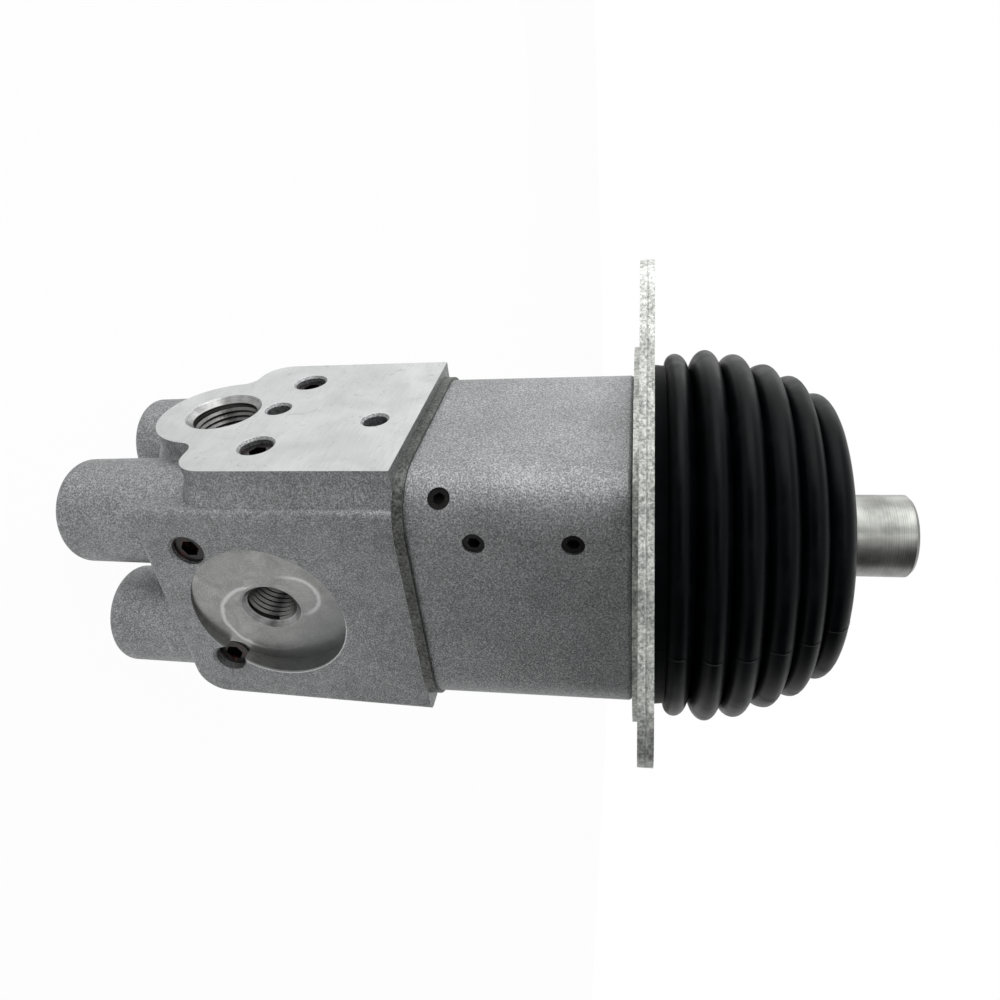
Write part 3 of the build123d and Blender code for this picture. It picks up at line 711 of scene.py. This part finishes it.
def rib_side(valley, rib):
    """A quarter of an ellipse from a valley's bottom to a rib's crest, as (height, radius)."""
    points = []
    for step in range(RIB_STEPS + 1):
        turn = math.pi / 2 * step / RIB_STEPS
        height = rib[0] + (valley[0] - rib[0]) * math.cos(turn)
        points.append((height, valley[1] + (rib[1] - valley[1]) * math.sin(turn) ** RIB_BLUNTNESS))
    return points


def rib_profile(first, last):
    """The outer line over the ribs from one valley to another."""
    points = []
    for index in range(first, last):
        up = rib_side(VALLEYS[index], RIBS[index])
        down = rib_side(VALLEYS[index + 1], RIBS[index])
        points += up + down[-2::-1]
    return points


def inside_of(outer):
    """The inner line behind an outer one, in the other direction."""
    return [(height, radius - RUBBER_WALL) for height, radius in reversed(outer)]


def boot_profiles():
    """Closed outlines of the boot's lower and upper half."""
    low_outer = COLLAR_LINE + rib_profile(0, SEAM_VALLEY)
    high_outer = rib_profile(SEAM_VALLEY, len(RIBS))
    return low_outer + inside_of(low_outer), high_outer + LIP_LINE + inside_of(high_outer)


SEAM_TURNS = (math.pi / 2, 3 * math.pi / 2)
SEAM_HALF = math.radians(0.5)
SEAM_STEPS = (-1.6, -0.5, 0.0, 0.5, 1.6)
SEAM_HEIGHT = 0.16
SPIN_STEPS = 224


def spin_angles():
    """Even steps round the boot, with extra ones at the two mould seams."""
    angles = [2 * math.pi * step / SPIN_STEPS for step in range(SPIN_STEPS)]
    for seam in SEAM_TURNS:
        angles = [angle for angle in angles if abs(angle - seam) >= 2 * SEAM_HALF]
        angles += [seam + step * SEAM_HALF for step in SEAM_STEPS]
    return sorted(angles)


def seam_lift(angle):
    """How far the mould seam stands proud at an angle."""
    nearest = min(abs(angle - seam) for seam in SEAM_TURNS)
    return SEAM_HEIGHT if nearest < SEAM_HALF / 4 else 0.0


def spin(name, profile, outer_count):
    """Turns a closed outline of (height, radius) about the lever's axis."""
    shape = bmesh.new()
    rings = []
    for angle in spin_angles():
        lift = seam_lift(angle)
        ring = []
        for index, (height, radius) in enumerate(profile):
            reach = radius + (lift if index < outer_count else 0.0)
            corner = reach * math.cos(angle) * MM, reach * math.sin(angle) * MM, height * MM
            ring.append(shape.verts.new(corner))
        rings.append(ring)
    for first, second in zip(rings, rings[1:] + rings[:1]):
        for index in range(len(profile)):
            after = (index + 1) % len(profile)
            shape.faces.new((first[index], second[index], second[after], first[after]))
    return mesh_from(name, shape)


def add_boot(rubber):
    """The ribbed boot in two halves that meet in a valley."""
    low, high = boot_profiles()
    low_mesh = spin("boot_lower_ribs", low, len(low) // 2)
    high_mesh = spin("boot_upper_ribs", high, len(high) // 2)
    lower = add_piece("boot_lower_ribs", low_mesh, rubber)
    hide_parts("boot")
    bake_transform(lower)
    upper = add_piece("boot_upper_ribs", high_mesh, rubber)
    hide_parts("boot")
    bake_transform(upper)


# --- Threads ----------------------------------------------------------------------------------

PITCH = 1.5
RIDGE = 0.55
RIDGE_LEAD = 0.8
RIDGE_SHARE = 0.44
TURN_STEPS = 48


class Tree:
    """A geometry tree with named inputs."""

    def __init__(self, name, inputs):
        self.group = bpy.data.node_groups.new(name, "GeometryNodeTree")
        for label, kind in inputs:
            self.group.interface.new_socket(label, in_out="INPUT", socket_type=kind)
        self.group.interface.new_socket("Geometry", in_out="OUTPUT", socket_type="NodeSocketGeometry")
        self.inputs = self.group.nodes.new("NodeGroupInput")
        self.output = self.group.nodes.new("NodeGroupOutput")

    def node(self, kind, settings=None, sockets=None):
        return make_node(self.group, kind, settings, sockets)

    def math(self, operation, *values):
        return node_math(self.group, operation, *values)

    def given(self, label):
        return self.inputs.outputs[label]

    def end(self, geometry):
        real = self.node("GeometryNodeRealizeInstances", sockets={"Geometry": geometry})
        sockets = {"Geometry": real.outputs[0], "Material": self.given("Material")}
        dressed = self.node("GeometryNodeSetMaterial", sockets=sockets)
        self.group.links.new(dressed.outputs[0], self.output.inputs[0])
        return self.group


def thread_tree():
    """The ridge of an internal thread, wound upwards from the origin."""
    kinds = [(label, "NodeSocketFloat") for label in ("Radius", "Pitch", "Turns", "Ridge")]
    tree = Tree("thread_turns", kinds + [("Material", "NodeSocketMaterial")])
    height = tree.math("MULTIPLY", tree.given("Pitch"), tree.given("Turns"))
    sockets = {"Resolution": TURN_STEPS, "Rotations": tree.given("Turns"), "Height": height}
    sockets.update({"Start Radius": tree.given("Radius"), "End Radius": tree.given("Radius")})
    helix = tree.node("GeometryNodeCurveSpiral", sockets=sockets)
    sockets = {"Curve": helix.outputs[0]}
    upright = tree.node("GeometryNodeSetCurveNormal", {"mode": "Z_UP"}, sockets)
    sockets = {"Resolution": 4, "Radius": 1.0}
    ring = tree.node("GeometryNodeCurvePrimitiveCircle", {"mode": "RADIUS"}, sockets)
    half = tree.math("MULTIPLY", tree.given("Pitch"), RIDGE_SHARE)
    size = tree.node("ShaderNodeCombineXYZ", sockets={"X": tree.given("Ridge"), "Y": half, "Z": 1.0})
    sockets = {"Geometry": ring.outputs[0], "Scale": size.outputs[0]}
    crest = tree.node("GeometryNodeTransform", sockets=sockets)
    sockets = {"Curve": upright.outputs[0], "Profile Curve": crest.outputs[0], "Fill Caps": True}
    swept = tree.node("GeometryNodeCurveToMesh", sockets=sockets)
    sockets = {"Geometry": swept.outputs[0], "Shade Smooth": False}
    return tree.end(tree.node("GeometryNodeSetShadeSmooth", sockets=sockets).outputs[0])


def grown(tree, name, values):
    """Runs a geometry tree with the named values and returns its result as a plain mesh."""
    seed = placed(bpy.data.objects.new(name, bpy.data.meshes.new(name + "_seed")))
    modifier = seed.modifiers.new("grow", "NODES")
    modifier.node_group = tree
    for item in tree.interface.items_tree:
        if item.in_out == "INPUT" and item.name in values:
            modifier[item.identifier] = values[item.name]
    return baked(seed)


def add_thread(tree, port, material):
    """Thread turns down one tapped port, from just under its chamfer."""
    name = port + "_thread"
    size = MOUNTS[port]["dims"]
    middle, way = mount_axis(port)
    turns = int((size["length_mm"] - 2 * RIDGE_LEAD) / PITCH)
    values = {"Radius": size["r_mm"] * MM, "Pitch": PITCH * MM, "Turns": float(turns)}
    values.update({"Ridge": RIDGE * MM, "Material": material})
    mesh = grown(tree, name, values)
    lowest = middle - way * (size["length_mm"] / 2 - RIDGE_LEAD)
    mesh.transform(stood(lowest * MM, way))
    piece = add_piece(name, cleaned(name, mesh, smooth=False), material)
    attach(piece, "valve")


def add_threads():
    tree = thread_tree()
    material = thread_finish()
    for port in PORTS:
        add_thread(tree, port, material)


# --- Studio -----------------------------------------------------------------------------------

# Lengths in this section are in metres
FLOOR_REACH = 2.5
FLOOR_GAP = 0.0002
FLOOR_TONE = (0.85, 0.85, 0.85)
FLOOR_SHARE = 0.03
WORLD_LEVEL = 0.5
WHITE = (1.0, 1.0, 1.0)
CARD_ROUGHNESS = 0.9

# Name, place, the point it faces, width, and the power in watts or the tone of the card
MIDDLE = (0, 0, -0.03)
STUB = (0, 0, 0.055)
SOFTBOXES = [
    ("key_softbox", (0.72, 0.06, 0.06), MIDDLE, 0.75, 5.0),
    ("top_softbox", (0.45, -0.60, 0.05), MIDDLE, 1.0, 3.0),
    ("end_softbox", (-0.1, 0.35, -0.75), MIDDLE, 0.4, 1.2),
    ("stub_softbox", (0.35, 0.49, 0.21), STUB, 0.12, 0.3),
]
FLAGS = [
    ("camera_side_flag", (0.18, 0.21, -0.05), MIDDLE, 0.30, 0.03),
    ("low_side_flag", (-0.22, 0.42, 0.02), MIDDLE, 0.62, 0.05),
]

CAMERA_PLACE = Vector((0.11483, 0.15941, 0.00036))
CAMERA_RIGHT = Vector((-0.09682, -0.15752, 0.98276))
CAMERA_UP = Vector((0.83563, -0.54926, -0.00571))
CAMERA_LENS = 26.89
CAMERA_SENSOR = 36.0
NEAREST_SEEN = 0.01


def white_to_the_eye(tree, plain, white, share):
    """The white shader for rays that are seen, mirrored or let through, and the plain one for
    all others, with a share of the plain one kept under the white."""
    paths = make_node(tree, "ShaderNodeLightPath").outputs
    seen = node_math(tree, "MAXIMUM", paths["Is Camera Ray"], paths["Is Glossy Ray"])
    seen = node_math(tree, "MAXIMUM", seen, paths["Is Transmission Ray"])
    sockets = {0: node_math(tree, "MULTIPLY", seen, 1 - share), 1: plain.outputs[0], 2: white.outputs[0]}
    return make_node(tree, "ShaderNodeMixShader", sockets=sockets).outputs[0]


def square_sheet(name, half, place):
    """A flat square of half the given width each way, turned and moved by place."""
    shape = bmesh.new()
    bmesh.ops.create_grid(shape, x_segments=1, y_segments=1, size=half)
    shape.transform(place)
    mesh = bpy.data.meshes.new(name)
    shape.to_mesh(mesh)
    shape.free()
    return placed(bpy.data.objects.new(name, mesh))


def add_floor():
    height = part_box("valve_body")[0].z - FLOOR_GAP
    floor = square_sheet("floor", FLOOR_REACH, Matrix.Translation((0, 0, height)))
    material = bpy.data.materials.new("pale_floor")
    material.use_nodes = True
    tree = material.node_tree
    tree.nodes.clear()
    plain = make_node(tree, "ShaderNodeBsdfDiffuse", sockets={"Color": solid(FLOOR_TONE)})
    white = make_node(tree, "ShaderNodeEmission")
    mix = white_to_the_eye(tree, plain, white, FLOOR_SHARE)
    make_node(tree, "ShaderNodeOutputMaterial", sockets={"Surface": mix})
    floor.data.materials.append(material)


def add_world():
    world = bpy.data.worlds.new("studio")
    bpy.context.scene.world = world
    world.use_nodes = True
    tree = world.node_tree
    tree.nodes.clear()
    soft = make_node(tree, "ShaderNodeBackground", sockets={"Strength": WORLD_LEVEL})
    white = make_node(tree, "ShaderNodeBackground", sockets={"Color": solid(WHITE)})
    mix = white_to_the_eye(tree, soft, white, 0.0)
    make_node(tree, "ShaderNodeOutputWorld", sockets={"Surface": mix})


def add_softbox(name, place, aim, size, power):
    lamp = bpy.data.lights.new(name, "AREA")
    lamp.shape = "SQUARE"
    lamp.size = size
    lamp.energy = power
    box = placed(bpy.data.objects.new(name, lamp))
    box.location = place
    box.rotation_mode = "QUATERNION"
    box.rotation_quaternion = (Vector(aim) - Vector(place)).to_track_quat("-Z", "Y")


def add_flag(name, place, aim, size, tone):
    """A dark card that the metal mirrors; it casts no shadow and no camera sees it."""
    card = square_sheet(name, size / 2, stood(Vector(place), Vector(aim) - Vector(place), "-Z"))
    card.visible_camera = False
    card.visible_shadow = False
    material = bpy.data.materials.new(name)
    material.use_nodes = True
    shader = material.node_tree.nodes["Principled BSDF"]
    shader.inputs["Base Color"].default_value = solid((tone, tone, tone))
    shader.inputs["Roughness"].default_value = CARD_ROUGHNESS
    card.data.materials.append(material)


def add_lights():
    for softbox in SOFTBOXES:
        add_softbox(*softbox)
    for flag in FLAGS:
        add_flag(*flag)


def add_camera():
    data = bpy.data.cameras.new("view")
    data.sensor_width = CAMERA_SENSOR
    data.lens = CAMERA_LENS
    data.clip_start = NEAREST_SEEN
    camera = placed(bpy.data.objects.new("view", data))
    turn = Matrix((CAMERA_RIGHT, CAMERA_UP, CAMERA_RIGHT.cross(CAMERA_UP))).transposed()
    camera.matrix_world = Matrix.Translation(CAMERA_PLACE) @ turn.to_4x4()
    bpy.context.scene.camera = camera


bpy.context.scene.view_settings.view_transform = "Standard"
add_camera()
finishes = dress_solids()
add_valve_casting(finishes["valve_body"])
add_side_plugs(finishes["side_plugs"])
add_springs(finishes["spring_steel"])
add_boot(finishes["boot_rubber"])
add_threads()
add_floor()
add_world()
add_lights()
